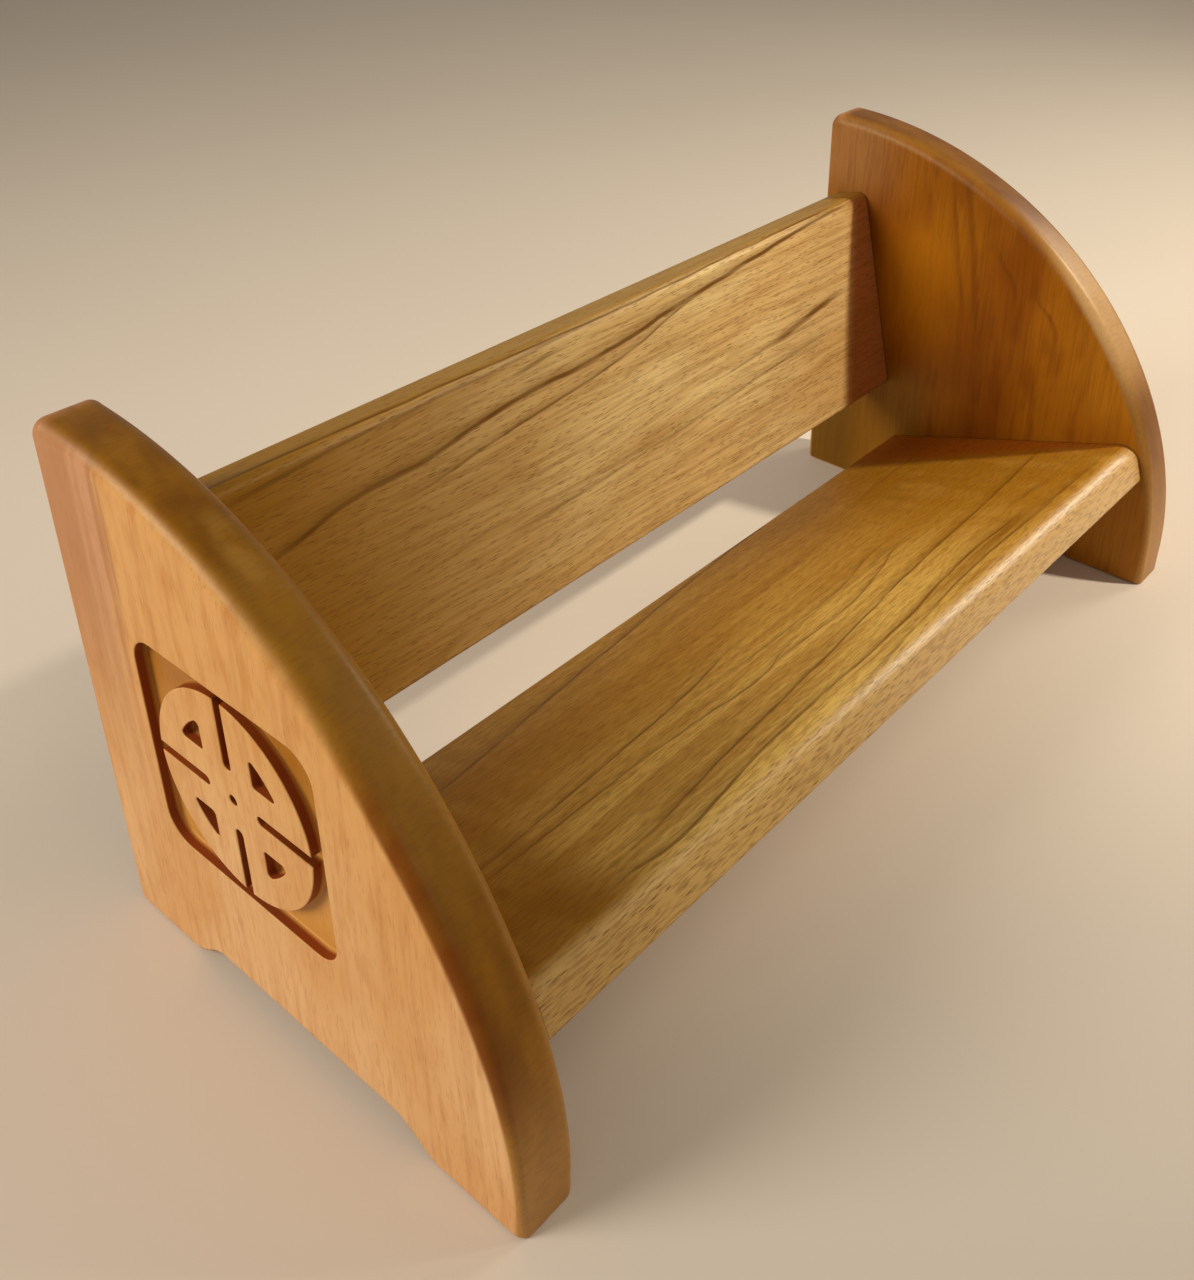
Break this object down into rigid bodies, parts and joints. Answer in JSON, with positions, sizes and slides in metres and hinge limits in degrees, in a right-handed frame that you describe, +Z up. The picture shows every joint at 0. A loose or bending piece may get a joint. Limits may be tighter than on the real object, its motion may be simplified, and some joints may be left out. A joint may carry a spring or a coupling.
{
  "type": "book trough",
  "caption": "Table-top book trough in oiled beech: quarter-oval carved end panels join a shelf that slopes up to the front and a back board that leans back, with an open slot between them.",
  "frame": {"origin": "centre of the trough's footprint, on the surface that the feet stand on", "axes": "+X along the trough to the right as a reader faces it, +Y to the back, +Z up"},
  "size_m": [0.471, 0.207, 0.2094],
  "materials": {
    "end_beech": "satin oil",
    "back_beech": "satin oil",
    "shelf_beech": "satin oil",
    "dowel_beech": "bare turned wood"
  },
  "bodies": {
    "root": {"left_end_panel": "end_beech", "right_end_panel": "end_beech", "back_board": "back_beech", "shelf_board": "shelf_beech", "shelf_dowel_left_1": "dowel_beech", "shelf_dowel_left_2": "dowel_beech", "shelf_dowel_left_3": "dowel_beech", "shelf_dowel_right_1": "dowel_beech", "shelf_dowel_right_2": "dowel_beech", "shelf_dowel_right_3": "dowel_beech", "back_dowel_left_1": "dowel_beech", "back_dowel_left_2": "dowel_beech", "back_dowel_right_1": "dowel_beech", "back_dowel_right_2": "dowel_beech"}
  },
  "joints": []
}
